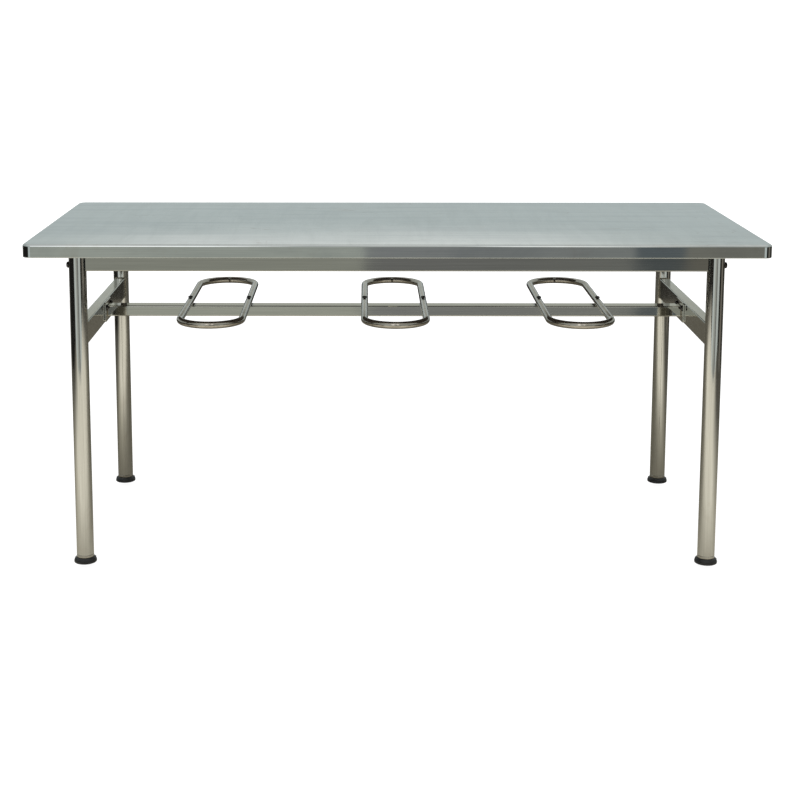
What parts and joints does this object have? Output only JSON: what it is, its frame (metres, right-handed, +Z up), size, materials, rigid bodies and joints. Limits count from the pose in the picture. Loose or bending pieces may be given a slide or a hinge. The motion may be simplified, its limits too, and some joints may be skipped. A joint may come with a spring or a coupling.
{
  "type": "work table",
  "caption": "Stainless table with a flat rolled-edge top, round legs on levelling feet, and stool-hanging loops on a low stretcher.",
  "frame": {"origin": "on the floor, under the middle of the top", "axes": "+X along the table's length, to the right seen from the front; +Y from the front edge to the rear edge; +Z up"},
  "size_m": [1.6, 0.7, 0.722],
  "materials": {
    "top_sheet_steel": "fine satin sheet with light scratches",
    "leg_steel": "mirror-polished round tube",
    "rail_steel": "polished rectangular tube",
    "loop_steel": "polished bent tube",
    "fastener_steel": "darkened domed bolts",
    "stem_steel": "zinc-plated thread and plates",
    "foot_plastic": "moulded black plastic",
    "core_board": "bare pressed wood board"
  },
  "bodies": {
    "table": {"centre_bearer": "rail_steel", "centre_bearer_front_screw": "fastener_steel", "centre_bearer_rear_screw": "fastener_steel", "front_left_leg": "leg_steel", "front_left_leg_bolt": "fastener_steel", "front_left_leg_insert": "leg_steel", "front_left_rail_nut_plate": "stem_steel", "front_right_leg": "leg_steel", "front_right_leg_bolt": "fastener_steel", "front_right_leg_insert": "leg_steel", "front_right_rail_nut_plate": "stem_steel", "front_top_rail": "rail_steel", "left_end_plate": "rail_steel", "left_end_rail": "rail_steel", "left_front_plate_bolt": "fastener_steel", "left_rear_plate_bolt": "fastener_steel", "left_top_end_front_screw": "fastener_steel", "left_top_end_rail": "rail_steel", "left_top_end_rear_screw": "fastener_steel", "loop_1_left_bolt": "fastener_steel", "loop_1_right_bolt": "fastener_steel", "loop_2_left_bolt": "fastener_steel", "loop_2_right_bolt": "fastener_steel", "loop_3_left_bolt": "fastener_steel", "loop_3_right_bolt": "fastener_steel", "rear_left_leg": "leg_steel", "rear_left_leg_bolt": "fastener_steel", "rear_left_leg_insert": "leg_steel", "rear_left_rail_nut_plate": "stem_steel", "rear_right_leg": "leg_steel", "rear_right_leg_bolt": "fastener_steel", "rear_right_leg_insert": "leg_steel", "rear_right_rail_nut_plate": "stem_steel", "rear_top_rail": "rail_steel", "right_end_plate": "rail_steel", "right_end_rail": "rail_steel", "right_front_plate_bolt": "fastener_steel", "right_rear_plate_bolt": "fastener_steel", "right_top_end_front_screw": "fastener_steel", "right_top_end_rail": "rail_steel", "right_top_end_rear_screw": "fastener_steel", "stool_loop_1": "loop_steel", "stool_loop_2": "loop_steel", "stool_loop_3": "loop_steel", "stretcher": "rail_steel", "top_core_board": "core_board", "top_sheet": "top_sheet_steel"},
    "front_left_foot_base": {"front_left_foot_pad": "foot_plastic"},
    "front_left_foot_screw": {"front_left_foot_stem": "stem_steel", "front_left_foot_collar": "foot_plastic"},
    "front_right_foot_base": {"front_right_foot_pad": "foot_plastic"},
    "front_right_foot_screw": {"front_right_foot_stem": "stem_steel", "front_right_foot_collar": "foot_plastic"},
    "rear_left_foot_base": {"rear_left_foot_pad": "foot_plastic"},
    "rear_left_foot_screw": {"rear_left_foot_stem": "stem_steel", "rear_left_foot_collar": "foot_plastic"},
    "rear_right_foot_base": {"rear_right_foot_pad": "foot_plastic"},
    "rear_right_foot_screw": {"rear_right_foot_stem": "stem_steel", "rear_right_foot_collar": "foot_plastic"}
  },
  "joints": [
    {"name": "front_left_foot_height", "type": "slide", "parent": "table", "child": "front_left_foot_base", "axis": [0, 0, -1], "range_m": [0, 0.012]},
    {"name": "front_left_foot_turn", "type": "hinge", "parent": "front_left_foot_base", "child": "front_left_foot_screw", "pos_m": [-0.69, -0.296, 0], "axis": [0, 0, -1], "range_deg": [0, 2880]},
    {"name": "front_right_foot_height", "type": "slide", "parent": "table", "child": "front_right_foot_base", "axis": [0, 0, -1], "range_m": [0, 0.012]},
    {"name": "front_right_foot_turn", "type": "hinge", "parent": "front_right_foot_base", "child": "front_right_foot_screw", "pos_m": [0.69, -0.296, 0], "axis": [0, 0, -1], "range_deg": [0, 2880]},
    {"name": "rear_left_foot_height", "type": "slide", "parent": "table", "child": "rear_left_foot_base", "axis": [0, 0, -1], "range_m": [0, 0.012]},
    {"name": "rear_left_foot_turn", "type": "hinge", "parent": "rear_left_foot_base", "child": "rear_left_foot_screw", "pos_m": [-0.69, 0.296, 0], "axis": [0, 0, -1], "range_deg": [0, 2880]},
    {"name": "rear_right_foot_height", "type": "slide", "parent": "table", "child": "rear_right_foot_base", "axis": [0, 0, -1], "range_m": [0, 0.012]},
    {"name": "rear_right_foot_turn", "type": "hinge", "parent": "rear_right_foot_base", "child": "rear_right_foot_screw", "pos_m": [0.69, 0.296, 0], "axis": [0, 0, -1], "range_deg": [0, 2880]}
  ],
  "couplings": [
    {"joint": "front_left_foot_height", "follows": "front_left_foot_turn", "m_per_rad": 0.00023873},
    {"joint": "front_right_foot_height", "follows": "front_right_foot_turn", "m_per_rad": 0.00023873},
    {"joint": "rear_left_foot_height", "follows": "rear_left_foot_turn", "m_per_rad": 0.00023873},
    {"joint": "rear_right_foot_height", "follows": "rear_right_foot_turn", "m_per_rad": 0.00023873}
  ]
}
